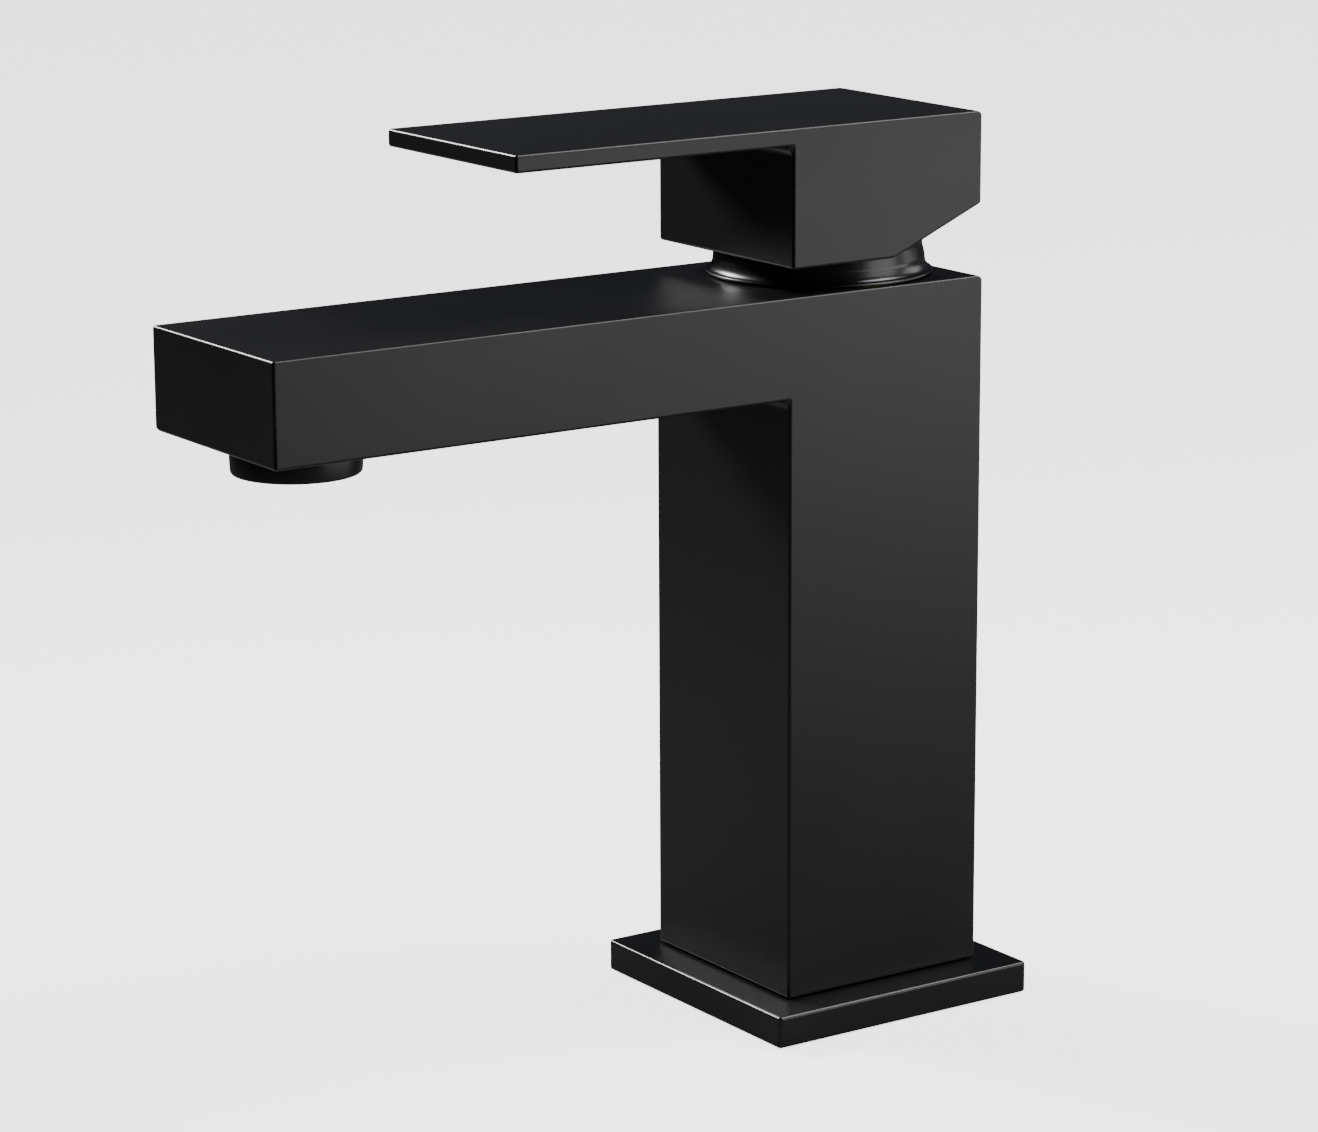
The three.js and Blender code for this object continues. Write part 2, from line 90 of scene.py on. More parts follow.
# ---- shader expressions ------------------------------------------------------------------
class Value:
    """A shader socket that takes part in Python arithmetic."""

    def __init__(self, graph: "Graph", socket: bpy.types.NodeSocket) -> None:
        """Wraps one output socket of a graph."""
        self.graph = graph
        self.socket = socket

    def _math(self, operation: str, first: Socketable, second: Socketable) -> "Value":
        """Adds one Math node.

        Args:
            operation: the Math node's operation.
            first: its first input.
            second: its second input.

        Returns:
            The node's result.
        """
        inputs = {0: first, 1: second}
        return self.graph.node("ShaderNodeMath", {"operation": operation}, inputs)

    def __add__(self, other: Socketable) -> "Value":
        """self + other."""
        return self._math("ADD", self, other)

    def __radd__(self, other: Socketable) -> "Value":
        """other + self."""
        return self._math("ADD", other, self)

    def __sub__(self, other: Socketable) -> "Value":
        """self - other."""
        return self._math("SUBTRACT", self, other)

    def __rsub__(self, other: Socketable) -> "Value":
        """other - self."""
        return self._math("SUBTRACT", other, self)

    def __mul__(self, other: Socketable) -> "Value":
        """self * other."""
        return self._math("MULTIPLY", self, other)

    def __rmul__(self, other: Socketable) -> "Value":
        """other * self."""
        return self._math("MULTIPLY", other, self)

    def above(self, edge: float, width: float) -> "Value":
        """A soft step from 0 to 1.

        Args:
            edge: where the step begins.
            width: how far it takes to reach 1.

        Returns:
            The stepped value.
        """
        inputs = {"Value": self, "From Min": edge, "From Max": edge + width}
        settings = {"interpolation_type": "SMOOTHSTEP", "clamp": True}
        return self.graph.node("ShaderNodeMapRange", settings, inputs)


class Graph:
    """One material's node tree."""

    def __init__(self, name: str) -> None:
        """Starts an empty material."""
        self.material = bpy.data.materials.new(name)
        self.material.use_nodes = True
        self.tree = self.material.node_tree
        self.tree.nodes.clear()

    def node(
        self,
        kind: str,
        settings: dict | None = None,
        inputs: dict | None = None,
        output: str | int = 0,
    ) -> Value:
        """Adds a node.

        Args:
            kind: the node's type.
            settings: its properties, set before its sockets.
            inputs: socket name or index to a value or a link.
            output: the output socket wanted.

        Returns:
            That output.
        """
        made = self.tree.nodes.new(kind)
        for key, setting in (settings or {}).items():
            setattr(made, key, setting)
        for key, value in (inputs or {}).items():
            socket = made.inputs[key]
            if isinstance(value, Value):
                self.tree.links.new(value.socket, socket)
            elif isinstance(value, tuple) and len(value) == 3 and socket.type == "RGBA":
                socket.default_value = (*value, 1.0)
            else:
                socket.default_value = value
        return Value(self, made.outputs[output])

    def place(self) -> Value:
        """The surface point in the piece's own space, in metres."""
        return self.node("ShaderNodeTexCoord", output="Object")

    def noise(self, scale: float, detail: float = 2.0, stretch: Colour | None = None) -> Value:
        """Fractal noise over the surface.

        Args:
            scale: features per metre.
            detail: octaves.
            stretch: factors on the three axes, for grain that runs one way.

        Returns:
            The noise, about 0.5.
        """
        where = self.place()
        if stretch:
            settings = {"operation": "MULTIPLY"}
            where = self.node("ShaderNodeVectorMath", settings, {0: where, 1: stretch})
        inputs = {"Vector": where, "Scale": scale, "Detail": detail, "Roughness": 0.55}
        return self.node("ShaderNodeTexNoise", inputs=inputs)

    def mask(self) -> Value:
        """1 on rounded edges and 0 on flat faces."""
        return self.node("ShaderNodeAttribute", {"attribute_name": EDGE_MASK}, output="Fac")

    def mix(self, share: Socketable, first: Socketable, second: Socketable) -> Value:
        """Mixes two colours.

        Args:
            share: how much of the second colour.
            first: the colour at 0.
            second: the colour at 1.

        Returns:
            The mixed colour.
        """
        made = self.tree.nodes.new("ShaderNodeMix")
        made.data_type = "RGBA"
        for index, value in ((0, share), (6, first), (7, second)):
            socket = made.inputs[index]
            if isinstance(value, Value):
                self.tree.links.new(value.socket, socket)
            else:
                socket.default_value = (*value, 1.0) if isinstance(value, tuple) else value
        return Value(self, made.outputs[2])

    def bump(self, height: Socketable, depth: float, strength: float) -> Value:
        """A bumped normal.

        Args:
            height: the height, from 0 to 1.
            depth: what a height of 1 stands for, in metres.
            strength: how strongly it shows.

        Returns:
            The normal.
        """
        inputs = {"Height": height, "Distance": depth, "Strength": strength}
        return self.node("ShaderNodeBump", inputs=inputs)

    def surface(self, inputs: dict) -> bpy.types.Material:
        """Closes the material with a Principled shader.

        Args:
            inputs: the shader's sockets.

        Returns:
            The finished material.
        """
        return self.closed(self.node("ShaderNodeBsdfPrincipled", inputs=inputs))

    def closed(self, shader: Value) -> bpy.types.Material:
        """Links a shader to the material's output.

        Args:
            shader: the finished shader.

        Returns:
            The material.
        """
        output = self.tree.nodes.new("ShaderNodeOutputMaterial")
        self.tree.links.new(shader.socket, output.inputs["Surface"])
        return self.material


# ---- finishes ----------------------------------------------------------------------------
@dataclass(frozen=True)
class BlackCoat:
    """Satin black lacquer on cast brass, with a fine orange peel and a painted highlight along
    its rounded edges.
    """

    name: str = "satin_black_coat"
    colour: Colour = (0.0105, 0.0105, 0.0112)
    # the paler grey of the painted highlight on rounded edges
    edge_highlight: Colour = (0.045, 0.044, 0.043)
    roughness: float = 0.36
    gloss: float = 0.42
    cloud_scale: float = 34.0
    grain_scale: float = 2600.0
    peel_scale: float = 1100.0
    highlight_scale: float = 240.0
    lighter: float = 1.22
    peel_depth: float = 0.006 * MM

    def material(self) -> bpy.types.Material:
        """Writes the shader.

        Returns:
            The finished material.
        """
        graph = Graph(self.name)
        cloud = graph.noise(self.cloud_scale, 3.0)
        grain = graph.noise(self.grain_scale, 2.0)
        peel = graph.noise(self.peel_scale, 1.0)
        edge = graph.mask()
        # painted highlight: rounded edges are lightened towards a paler grey in noisy patches
        painted_highlight = edge * graph.noise(self.highlight_scale, 4.0).above(0.42, 0.3)
        tinted = graph.mix(cloud, self.colour, tuple(self.lighter * c for c in self.colour))
        colour = graph.mix(painted_highlight * 0.55, tinted, self.edge_highlight)
        rough = self.roughness + (cloud - 0.5) * 0.08 + (grain - 0.5) * 0.015 - edge * 0.13
        return graph.surface({
            "Base Color": colour,
            "Roughness": rough,
            "Normal": graph.bump(peel * 0.75 + grain * 0.25, self.peel_depth, 0.55),
            "Metallic": 0.0,
            "Specular IOR Level": self.gloss,
        })


@dataclass(frozen=True)
class Rubber:
    """Matte black moulded rubber with a bloom."""

    name: str = "seal_rubber"
    colour: Colour = (0.018, 0.018, 0.019)
    bloomed: Colour = (0.05, 0.05, 0.052)
    bloom_scale: float = 300.0
    grain_scale: float = 5000.0

    def material(self) -> bpy.types.Material:
        """Writes the shader.

        Returns:
            The finished material.
        """
        graph = Graph(self.name)
        bloom = graph.noise(self.bloom_scale, 4.0)
        grain = graph.noise(self.grain_scale, 2.0)
        colour = graph.mix(bloom.above(0.45, 0.4) * 0.6, self.colour, self.bloomed)
        return graph.surface({
            "Base Color": colour,
            "Roughness": 0.78 + (bloom - 0.5) * 0.2,
            "Normal": graph.bump(grain, 0.01 * MM, 0.5),
        })


@dataclass(frozen=True)
class TurnedMetal:
    """Bare metal with turning marks round its axis."""

    name: str
    colour: Colour
    roughness: float = 0.3
    marks_scale: float = 900.0
    marks_stretch: Colour = (0.15, 0.15, 8.0)
    tarnish_scale: float = 120.0
    darker: float = 0.72

    def material(self) -> bpy.types.Material:
        """Writes the shader.

        Returns:
            The finished material.
        """
        graph = Graph(self.name)
        marks = graph.noise(self.marks_scale, 2.0, self.marks_stretch)
        tarnish = graph.noise(self.tarnish_scale, 4.0)
        darker = tuple(self.darker * c for c in self.colour)
        return graph.surface({
            "Base Color": graph.mix(tarnish.above(0.4, 0.35), self.colour, darker),
            "Roughness": self.roughness + (tarnish - 0.5) * 0.22 + (marks - 0.5) * 0.15,
            "Metallic": 1.0,
            "Normal": graph.bump(marks, 0.004 * MM, 0.6),
        })


@dataclass(frozen=True)
class Moulding:
    """Injection-moulded plastic with a spark-eroded texture."""

    name: str
    colour: Colour
    roughness: float = 0.42
    flow_scale: float = 80.0
    grain_scale: float = 3500.0
    darker: float = 0.86

    def material(self) -> bpy.types.Material:
        """Writes the shader.

        Returns:
            The finished material.
        """
        graph = Graph(self.name)
        flow = graph.noise(self.flow_scale, 3.0)
        grain = graph.noise(self.grain_scale, 3.0)
        darker = tuple(self.darker * c for c in self.colour)
        return graph.surface({
            "Base Color": graph.mix(flow, self.colour, darker),
            "Roughness": self.roughness + (grain - 0.5) * 0.2,
            "Normal": graph.bump(grain, 0.006 * MM, 0.5),
            "Specular IOR Level": 0.5,
        })


@dataclass(frozen=True)
class DiscCeramic:
    """Lapped alumina, nearly white, with faint speckle."""

    name: str = "lapped_alumina"
    colour: Colour = (0.84, 0.82, 0.76)
    speck: Colour = (0.6, 0.58, 0.53)
    speckle_scale: float = 6000.0
    lap_scale: float = 1500.0

    def material(self) -> bpy.types.Material:
        """Writes the shader.

        Returns:
            The finished material.
        """
        graph = Graph(self.name)
        speckle = graph.noise(self.speckle_scale, 2.0).above(0.62, 0.1)
        lap = graph.noise(self.lap_scale, 2.0)
        return graph.surface({
            "Base Color": graph.mix(speckle * 0.3, self.colour, self.speck),
            "Roughness": 0.16 + lap * 0.12,
            "Normal": graph.bump(lap, 0.001 * MM, 0.4),
        })


# ---- meshes ------------------------------------------------------------------------------
@dataclass
class Corner:
    """One corner of an outline, and how far it is rounded."""

    a: float
    b: float
    radius: float


def new_object(name: str, mesh: bpy.types.Mesh) -> bpy.types.Object:
    """Puts a mesh in the scene as an object.

    Args:
        name: the object's name.
        mesh: its mesh.

    Returns:
        The object.
    """
    made = bpy.data.objects.new(name, mesh)
    bpy.context.scene.collection.objects.link(made)
    return made


def object_from(name: str, bm: bmesh.types.BMesh) -> bpy.types.Object:
    """Turns a bmesh into an object with its faces pointing out.

    Args:
        name: the object's name.
        bm: the mesh, which is freed.

    Returns:
        The object.
    """
    bmesh.ops.recalc_face_normals(bm, faces=bm.faces)
    mesh = bpy.data.meshes.new(name)
    bm.to_mesh(mesh)
    bm.free()
    return new_object(name, mesh)


def baked(item: bpy.types.Object) -> bpy.types.Object:
    """Applies an object's modifiers to its mesh.

    Args:
        item: the object.

    Returns:
        The same object, with no modifiers left.
    """
    bpy.context.view_layer.update()
    evaluated = item.evaluated_get(bpy.context.evaluated_depsgraph_get())
    mesh = bpy.data.meshes.new_from_object(evaluated)
    item.modifiers.clear()
    old = item.data
    item.data = mesh
    bpy.data.meshes.remove(old)
    mesh.name = item.name
    return item


def prism(
    name: str,
    corners: Sequence[Corner],
    low: float,
    high: float,
    place: Callable[[float, float, float], tuple[float, float, float]],
    rim: Callable[[float, Corner, Corner], float],
) -> bpy.types.Object:
    """An outline given depth, with every edge rounded by its own radius.

    Args:
        name: the object's name.
        corners: the outline's corners in order.
        low: where the depth begins.
        high: where it ends.
        place: turns (a, b, depth) into (x, y, z).
        rim: the radius of the rim edge at a depth, between two corners.

    Returns:
        The rounded solid.
    """
    bm = bmesh.new()
    weight = bm.edges.layers.float.new(BEVEL_WEIGHT)
    rings = []
    for depth in (low, high):
        rings.append([bm.verts.new(place(c.a, c.b, depth)) for c in corners])
    bm.faces.new(rings[0])
    bm.faces.new(rings[1])
    count = len(corners)
    for i in range(count):
        after = (i + 1) % count
        bm.faces.new((rings[0][i], rings[0][after], rings[1][after], rings[1][i]))
    for i, corner in enumerate(corners):
        after = (i + 1) % count
        bm.edges.get((rings[0][i], rings[1][i]))[weight] = corner.radius / WIDEST_ROUND
        for depth, ring in zip((low, high), rings):
            radius = rim(depth, corner, corners[after])
            bm.edges.get((ring[i], ring[after]))[weight] = radius / WIDEST_ROUND
    item = object_from(name, bm)
    bevel = item.modifiers.new("round", "BEVEL")
    bevel.limit_method = "WEIGHT"
    bevel.width = WIDEST_ROUND
    bevel.segments = ROUND_STEPS
    bevel.profile = 0.5
    bevel.use_clamp_overlap = False
    return baked(item)


def turned(
    name: str,
    profile: Sequence[Point2],
    centre: Point2 = (0.0, 0.0),
    steps: int = 144,
) -> bpy.types.Object:
    """A solid of revolution about an upright axis.

    Args:
        name: the object's name.
        profile: closed outline of (radius, height) points; one on the axis leaves a flat end.
        centre: where the axis stands.
        steps: how many sides the turned surface has.

    Returns:
        The solid.
    """
    bm = bmesh.new()
    rings = []
    for radius, height in profile:
        if radius < SAME_POINT:
            rings.append([])
            continue
        ring = []
        for i in range(steps):
            angle = 2 * math.pi * i / steps
            x = centre[0] + radius * math.cos(angle)
            y = centre[1] + radius * math.sin(angle)
            ring.append(bm.verts.new((x, y, height)))
        rings.append(ring)
    for here, above in zip(rings, [*rings[1:], rings[0]]):
        if here and above:
            for i in range(steps):
                after = (i + 1) % steps
                bm.faces.new((here[i], here[after], above[after], above[i]))
        elif here or above:
            bm.faces.new(here or above)
    return object_from(name, bm)


def arc(centre: Point2, radius: float, start: float, end: float, steps: int = 8) -> list[Point2]:
    """Points on an arc.

    Args:
        centre: the arc's centre.
        radius: its radius.
        start: first angle, in degrees.
        end: last angle.
        steps: number of pieces.

    Returns:
        The points, both ends included.
    """
    angles = [math.radians(start + (end - start) * i / steps) for i in range(steps + 1)]
    return [(centre[0] + radius * math.cos(t), centre[1] + radius * math.sin(t)) for t in angles]


def rod(
    radius: float,
    start: Sequence[float],
    end: Sequence[float],
    sides: int = 72,
) -> bpy.types.Object:
    """A plain round cutter between two points.

    Args:
        radius: its radius.
        start: centre of one end.
        end: centre of the other end.
        sides: how many sides it has.

    Returns:
        The cutter.
    """
    first, last = Vector(start), Vector(end)
    bm = bmesh.new()
    turn = (last - first).to_track_quat("Z", "Y").to_matrix().to_4x4()
    bmesh.ops.create_cone(
        bm,
        cap_ends=True,
        segments=sides,
        radius1=radius,
        radius2=radius,
        depth=(last - first).length,
        matrix=Matrix.Translation((first + last) / 2) @ turn,
    )
    return object_from("cutter", bm)


def block(low: Sequence[float], high: Sequence[float]) -> bpy.types.Object:
    """A plain box cutter.

    Args:
        low: its lowest corner.
        high: its highest corner.

    Returns:
        The cutter.
    """
    bm = bmesh.new()
    size = Vector(high) - Vector(low)
    middle = (Vector(high) + Vector(low)) / 2
    bmesh.ops.create_cube(bm, matrix=Matrix.Translation(middle) @ Matrix.Diagonal((*size, 1)))
    return object_from("cutter", bm)


def carve(
    item: bpy.types.Object,
    tools: Iterable[bpy.types.Object],
    operation: str = "DIFFERENCE",
) -> bpy.types.Object:
    """Cuts or joins other solids, which are used up, and cleans the seams.

    Args:
        item: the solid that is kept.
        tools: the other solids.
        operation: DIFFERENCE or UNION.

    Returns:
        The same object.
    """
    used = list(tools)
    for tool in used:
        step = item.modifiers.new("carve", "BOOLEAN")
        step.operation = operation
        step.solver = "EXACT"
        step.object = tool
    baked(item)
    for tool in used:
        mesh = tool.data
        bpy.data.objects.remove(tool)
        bpy.data.meshes.remove(mesh)
    bm = bmesh.new()
    bm.from_mesh(item.data)
    bmesh.ops.remove_doubles(bm, verts=bm.verts, dist=SAME_POINT)
    bmesh.ops.dissolve_degenerate(bm, edges=bm.edges, dist=SAME_POINT)
    bm.to_mesh(item.data)
    bm.free()
    return item


def smooth(
    item: bpy.types.Object,
    sharp_above: float = 38.0,
    cast: bool = True,
) -> bpy.types.Object:
    """Shades a solid smoothly, keeps its flats flat, and marks its rounded edges.

    Args:
        item: the solid.
        sharp_above: edges that turn by more than this many degrees stay sharp.
        cast: whether it is flat-sided, so that its small faces are its edges.

    Returns:
        The same object.
    """
    mesh = item.data
    mask = [1.0 if cast else 0.0] * len(mesh.vertices)
    for face in mesh.polygons:
        if face.area > FLAT_AREA:
            for index in face.vertices:
                mask[index] = 0.0
    layer = mesh.attributes.get(EDGE_MASK) or mesh.attributes.new(EDGE_MASK, "FLOAT", "POINT")
    layer.data.foreach_set("value", mask)
    mesh.shade_smooth()
    mesh.set_sharp_from_angle(angle=math.radians(sharp_above))
    normals = item.modifiers.new("normals", "WEIGHTED_NORMAL")
    normals.keep_sharp = True
    normals.weight = 100
    return baked(item)


def dress(
    item: bpy.types.Object,
    material: bpy.types.Material,
    body: Body,
    node: str,
) -> None:
    """Gives a piece its finish and hands it to the frame.

    Args:
        item: the piece.
        material: its finish.
        body: the body that it moves with.
        node: the CAD node that it stands for.
    """
    item.data.materials.clear()
    item.data.materials.append(material)
    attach(item, body.value)
    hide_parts(node)
    LOG.info("%s stands for %s on %s", item.name, node, body.value)


# ---- sub-assemblies ----------------------------------------------------------------------
@dataclass
class Casting:
    """The body casting: column, spout, foot, bores, cores and waterways."""

    spout_height: float = 18.5 * MM
    plate_clearance: float = 6.3 * MM
    edge: float = 0.55 * MM
    inner_fillet: float = 1.9 * MM
    rear_round: float = 1.3 * MM
    far_lower_round: float = 2.4 * MM
    foot_radius: float = 16 * MM
    inlet_offset: float = 7.4 * MM
    inlet_radius: float = 4 * MM
    stud_offset: float = 11.5 * MM
    stud_radius: float = 3.4 * MM
    inlet_top: float = 20 * MM
    stud_top: float = 13 * MM
    seat: float = 106 * MM
    cartridge_radius: float = 18 * MM
    nut_radius: float = 19 * MM
    nut_depth: float = 10 * MM
    outlet_radius: float = 11 * MM
    outlet_depth: float = 7.8 * MM
    boss_radius: float = 12.1 * MM
    boss_height: float = 0.9 * MM
    boss_wall: float = 0.3 * MM
    wall: float = 3.5 * MM
    web: float = 6 * MM
    core_floor: float = 12 * MM
    core_headroom: float = 8 * MM
    port_radius: float = 3 * MM
    slot_half: float = 9 * MM
    slot_rise: float = 2 * MM
    slot_landing: float = 0.4 * MM
    upper_slot: Point2 = (-19 * MM, -14 * MM)
    lower_slot: Point2 = (-25 * MM, -18 * MM)
    channel: Point2 = (-97 * MM, -24 * MM)
    channel_end: Point2 = (-119 * MM, -96 * MM)
    channel_half: float = 8 * MM
    channel_floor: float = 2.7 * MM
    channel_step: float = 0.4 * MM
    washer_port: float = 8.6 * MM

    def cores(self, side: float, rear: float) -> list[bpy.types.Object]:
        """Cutters for the hollows before and behind the web that carries the waterways.

        Args:
            side: half the column's width.
            rear: half its depth.

        Returns:
            The cutters.
        """
        side, rear = side - self.wall, rear - self.wall
        roof = self.seat - self.core_headroom
        return [
            block((-side, -rear, self.core_floor), (side, -self.web, roof)),
            block((-side, self.web, self.core_floor), (side, rear, roof)),
        ]

    def sockets(self) -> list[bpy.types.Object]:
        """Cutters for the inlets, the waterways above them and the stud sockets.

        Returns:
            The cutters.
        """
        below = -OVERSHOOT
        port = self.inlet_top - OVERSHOOT
        port_top = self.seat + OVERSHOOT
        cutters = []
        for side in (-1, 1):
            x = side * self.inlet_offset
            y = side * self.stud_offset
            cutters.append(rod(self.inlet_radius, (x, 0, below), (x, 0, self.inlet_top)))
            cutters.append(rod(self.port_radius, (x, 0, port), (x, 0, port_top)))
            cutters.append(rod(self.stud_radius, (0, y, below), (0, y, self.stud_top)))
        return cutters

    def passage(self, top: float, under: float, outlet: Vector) -> list[bpy.types.Object]:
        """Cutters for the water's way from the cartridge to the aerator.

        Args:
            top: height of the spout's top.
            under: height of its underside.
            outlet: the aerator's place.

        Returns:
            The cutters.
        """
        floor = under + self.channel_floor
        roof = top - self.wall
        landing = top - self.nut_depth - self.slot_landing
        seat = under + self.outlet_depth
        mouth = under - self.boss_height - OVERSHOOT
        x, y = outlet.x, outlet.y
        runs = [
            (self.upper_slot, self.slot_half, self.seat + self.slot_rise, landing),
            (self.lower_slot, self.slot_half, floor, landing),
            (self.channel, self.channel_half, floor, roof),
            (self.channel_end, self.channel_half, seat + self.channel_step, roof),
        ]
        return [
            *(block((-half, run[0], low), (half, run[1], high)) for run, half, low, high in runs),
            rod(self.washer_port, (x, y, seat - OVERSHOOT), (x, y, seat + OVERSHOOT)),
            rod(self.outlet_radius, (x, y, mouth), (x, y, seat)),
        ]

    def build(self) -> bpy.types.Object:
        """Makes the casting.

        Returns:
            The piece.
        """
        low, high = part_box("faucet_body")
        aerator_low, aerator_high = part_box("aerator_shell")
        rear, tip, top = high.y, low.y, high.z
        front = -rear
        under = top - self.spout_height
        corners = [
            Corner(front, self.plate_clearance, self.edge),
            Corner(rear, self.plate_clearance, self.edge),
            Corner(rear, top, self.rear_round),
            Corner(tip, top, self.edge),
            Corner(tip, under, self.edge),
            Corner(front, under, self.inner_fillet),
        ]

        def rim(depth: float, first: Corner, second: Corner) -> float:
            """The far lower edge of the spout is rounder than the rest."""
            lower = first.b == under and second.b == under
            return self.far_lower_round if lower and depth < 0 else self.edge

        item = prism(
            "mixer_body",
            corners,
            low.x,
            high.x,
            lambda a, b, depth: (depth, a, b),
            rim,
        )
        outlet = (aerator_low + aerator_high) / 2
        foot_top = self.plate_clearance + 2 * OVERSHOOT
        foot = turned("foot", [
            (0.0, 0.0),
            *arc((self.foot_radius - self.edge, self.edge), self.edge, -90, 0, 4),
            (self.foot_radius, foot_top),
            (0.0, foot_top),
        ])
        rise = self.boss_height
        inner, outer = self.boss_radius - self.boss_wall, self.boss_radius + rise
        boss = turned("boss", [
            (inner, under - rise),
            *arc((outer, under - rise), rise, 180, 90),
            (outer, under + OVERSHOOT),
            (inner, under + OVERSHOOT),
        ], (outlet.x, outlet.y))
        carve(item, [foot, boss], "UNION")
        carve(item, [
            rod(self.cartridge_radius, (0, 0, self.seat), (0, 0, top + OVERSHOOT)),
            rod(self.nut_radius, (0, 0, top - self.nut_depth), (0, 0, top + 2 * OVERSHOOT)),
            *self.cores(high.x, rear),
            *self.sockets(),
            *self.passage(top, under, outlet),
        ])
        return smooth(item)


@dataclass
class CoverPlate:
    """The square plate under the column."""

    edge: float = 0.6 * MM
    corner: float = 0.9 * MM
    hole_radius: float = 16.3 * MM
    groove_radius: float = 20.3 * MM
    ring_groove: Point2 = (17.7 * MM, 20.1 * MM)
    ring_depth: float = 1.6 * MM
    clearance: float = 0.3 * MM

    def build(self) -> bpy.types.Object:
        """Makes the plate.

        Returns:
            The piece.
        """
        low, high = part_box("base_plate")
        corners = [
            Corner(low.x, low.y, self.corner),
            Corner(high.x, low.y, self.corner),
            Corner(high.x, high.y, self.corner),
            Corner(low.x, high.y, self.corner),
        ]
        item = prism(
            "cover_plate",
            corners,
            low.z,
            high.z,
            lambda a, b, depth: (a, b, depth),
            lambda depth, first, second: self.edge,
        )
        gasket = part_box("base_gasket")[1]
        outer = gasket.x + self.clearance
        roof = gasket.z + self.clearance
        groove = turned("groove", [
            (self.groove_radius, -OVERSHOOT),
            (outer, -OVERSHOOT),
            (outer, roof),
            (self.groove_radius, roof),
        ])
        inner, outer = self.ring_groove
        floor = high.z - self.ring_depth
        ring_groove = turned("ring_groove", [
            (inner, floor),
            (outer, floor),
            (outer, high.z + OVERSHOOT),
            (inner, high.z + OVERSHOOT),
        ])
        hole = rod(self.hole_radius, (0, 0, -OVERSHOOT), (0, 0, high.z + OVERSHOOT))
        carve(item, [hole, groove, ring_groove])
        return smooth(item)


@dataclass
class Dome:
    """The round collar over the cartridge."""

    skirt_lip: float = 0.5 * MM
    flare: float = 2.6 * MM
    lip_edge: float = 0.12 * MM
    wall: float = 1.1 * MM
    pivot: float = 142 * MM
    radius: float = 19 * MM
    bore: float = 18.1 * MM
    bore_break: float = 0.7 * MM
    neck_radius: float = 19.05 * MM
    cone: float = 0.25

    def build(self) -> bpy.types.Object:
        """Makes the collar.

        Returns:
            The piece.
        """
        low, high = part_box("dome_cap")
        inner = self.radius - self.wall
        lip_top = low.z + self.skirt_lip
        cone_foot = lip_top + self.flare
        cone_radius = self.neck_radius + self.cone * (self.pivot - cone_foot)
        reach = high.x - self.lip_edge - cone_radius
        flare = [
            (cone_radius + reach * (1 - math.sin(t)), lip_top + self.flare * (1 - math.cos(t)))
            for t in (math.pi / 2 * i / 10 for i in range(11))
        ]
        rise = high.z - self.pivot
        top_angle = math.degrees(math.asin(rise / self.radius))
        inner_angle = math.degrees(math.asin(rise / inner))
        profile = [
            (self.bore, low.z),
            (high.x - self.lip_edge, low.z),
            (high.x, low.z + self.lip_edge),
            (high.x, lip_top - self.lip_edge),
            *flare,
            *arc((0.0, self.pivot), self.radius, 1.0, top_angle, 14),
            *arc((0.0, self.pivot), inner, inner_angle, 0.0, 10),
            (self.bore, self.pivot - self.bore_break),
        ]
        return smooth(turned("dome_collar", profile), 50.0, cast=False)


@dataclass
class LeverHandle:
    """The cast lever: block, blade and the hollow that the dome turns in."""

    blade: float = 3.2 * MM
    block_front: float = -21 * MM
    block_bottom: float = 142 * MM
    chamfer_start: float = 1.5 * MM
    chamfer_end: float = 150.3 * MM
    edge: float = 0.55 * MM
    fillet: float = 2.0 * MM
    rear_round: float = 1.2 * MM
    cavity: float = 19.5 * MM
    front_wall: float = 0.1 * MM
    cavity_top: float = 161 * MM
    hub: float = 6.5 * MM
    hub_back: float = 7 * MM
    hub_bottom: float = 153 * MM
    socket: float = 4.1 * MM
    socket_top: float = 160 * MM
    screw_height: float = 157 * MM
    screw_hole: float = 2.5 * MM
    plug_hole: float = 3.3 * MM
    plug_edge: float = 0.35 * MM

    def build(self) -> bpy.types.Object:
        """Makes the lever.

        Returns:
            The piece.
        """
        low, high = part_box("handle")
        under = high.z - self.blade
        corners = [
            Corner(low.y, under, self.edge),
            Corner(self.block_front, under, self.fillet),
            Corner(self.block_front, self.block_bottom, self.edge),
            Corner(self.chamfer_start, self.block_bottom, self.edge),
            Corner(high.y, self.chamfer_end, self.edge),
            Corner(high.y, high.z, self.rear_round),
            Corner(low.y, high.z, self.edge),
        ]
        item = prism(
            "lever_handle",
            corners,
            low.x,
            high.x,
            lambda a, b, depth: (depth, a, b),
            lambda depth, first, second: self.edge,
        )
        carve(item, [block(
            (-self.cavity, -self.cavity + self.front_wall, self.block_bottom - 3 * OVERSHOOT),
            (self.cavity, self.cavity, self.cavity_top),
        )])
        carve(item, [block(
            (-self.hub, -self.hub, self.hub_bottom),
            (self.hub, self.hub_back, self.cavity_top + OVERSHOOT),
        )], "UNION")
        level = self.screw_height
        inner, outer = self.hub_back + OVERSHOOT, high.y + OVERSHOOT
        carve(item, [
            block(
                (-self.socket, -self.socket, self.block_bottom),
                (self.socket, self.socket, self.socket_top),
            ),
            rod(self.plug_hole, (0, self.cavity - OVERSHOOT, level), (0, outer, level)),
            rod(self.screw_hole, (0, self.socket - OVERSHOOT, level), (0, inner, level)),
        ])
        return smooth(item)

    def build_plug(self) -> bpy.types.Object:
        """Makes the small plug over the screw.

        Returns:
            The piece.
        """
        low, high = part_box("handle_plug")
        radius = (high.x - low.x) / 2
        depth = high.y - low.y
        edge = self.plug_edge
        profile = [
            (0.0, 0.0),
            (radius, 0.0),
            *arc((radius - edge, depth - edge), edge, 0, 90, 5),
            (0.0, depth),
        ]
        item = turned("screw_plug", profile, steps=72)
        turn = Matrix.Rotation(math.radians(-90), 4, "X")
        lift = Matrix.Translation((0, low.y, (low.z + high.z) / 2))
        item.data.transform(lift @ turn)
        return smooth(item)


